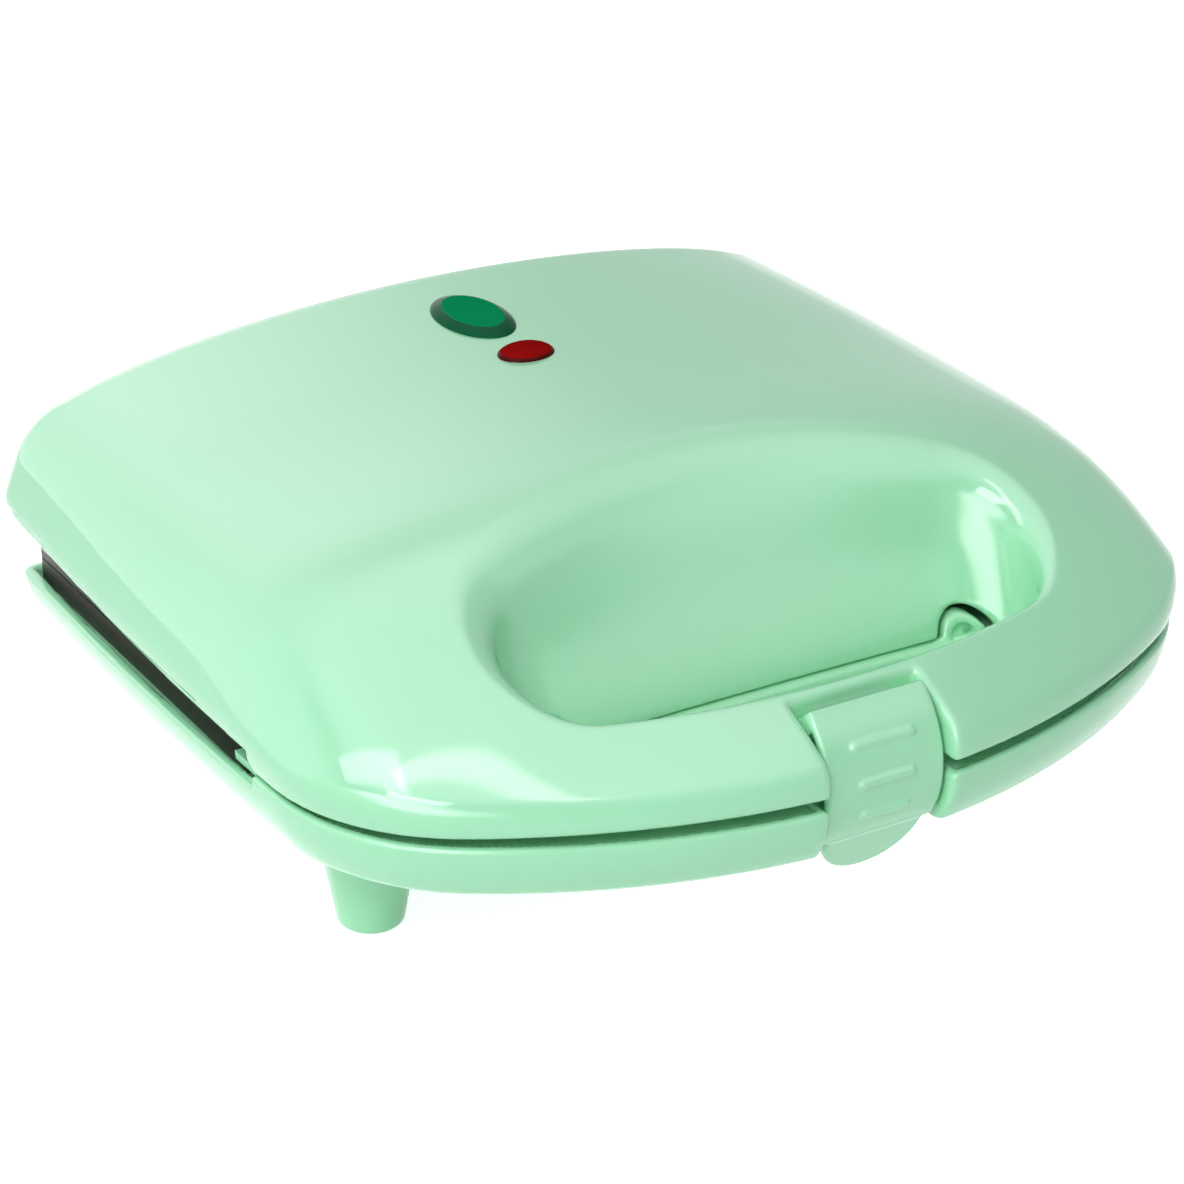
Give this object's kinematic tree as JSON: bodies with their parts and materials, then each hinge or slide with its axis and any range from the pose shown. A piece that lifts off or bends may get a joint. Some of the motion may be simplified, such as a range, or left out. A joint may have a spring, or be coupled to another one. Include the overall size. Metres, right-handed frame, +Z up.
{
  "type": "donut maker",
  "caption": "Hinged clamshell appliance with ring-shaped mould plates, a moulded handle loop, a snap latch and oval indicator lamps on the lid.",
  "frame": {"origin": "middle of the footprint on the table, under the rubber feet", "axes": "+Z up from the table, -Y towards the handle and latch, +Y towards the hinge, +X across to the right seen from the handle side"},
  "size_m": [0.2254, 0.2168, 0.0865],
  "materials": {
    "mint_gloss": "glossy mint green moulded plastic",
    "coated_plate": "die-cast plate with dark non-stick coating",
    "steel": "plain steel",
    "bright_sheet": "bright aluminium sheet",
    "pad_rubber": "matte rubber",
    "green_lens": "translucent emerald lens with fine inner pattern",
    "red_lens": "translucent red lens with fine inner pattern",
    "inner_plastic": "plain moulded plastic",
    "lamp_glass": "clear lamp tube",
    "wire_jacket": "glass-fibre wire sleeve"
  },
  "bodies": {
    "base": {"base_shell": "mint_gloss", "lower_handle_cover": "mint_gloss", "foot_pads": "pad_rubber", "lower_plate": "coated_plate", "lower_heater": "steel", "lower_reflector": "bright_sheet", "lower_plate_screws": "steel", "lower_cover_screws": "steel", "thermostat": "inner_plastic", "thermal_fuse": "bright_sheet", "terminal_block": "inner_plastic", "base_wiring": "wire_jacket", "cord_inlet": "pad_rubber", "hinge_pins": "steel"},
    "lid": {"lid_shell": "mint_gloss", "upper_handle_cover": "mint_gloss", "upper_plate": "coated_plate", "upper_heater": "steel", "upper_reflector": "bright_sheet", "upper_plate_screws": "steel", "upper_cover_screws": "steel", "ready_lamp_lens": "green_lens", "power_lamp_lens": "red_lens", "lamp_holder": "inner_plastic", "neon_lamps": "lamp_glass", "latch_pin": "steel"},
    "latch": {"latch": "mint_gloss"}
  },
  "joints": [
    {"name": "lid_hinge", "type": "hinge", "parent": "base", "child": "lid", "pos_m": [0, 0.1044, 0.041], "axis": [-1, 0, 0], "range_deg": [0, 100]},
    {"name": "latch_pivot", "type": "hinge", "parent": "lid", "child": "latch", "pos_m": [0, -0.0942, 0.0535], "axis": [-1, 0, 0], "range_deg": [0, 35]}
  ]
}
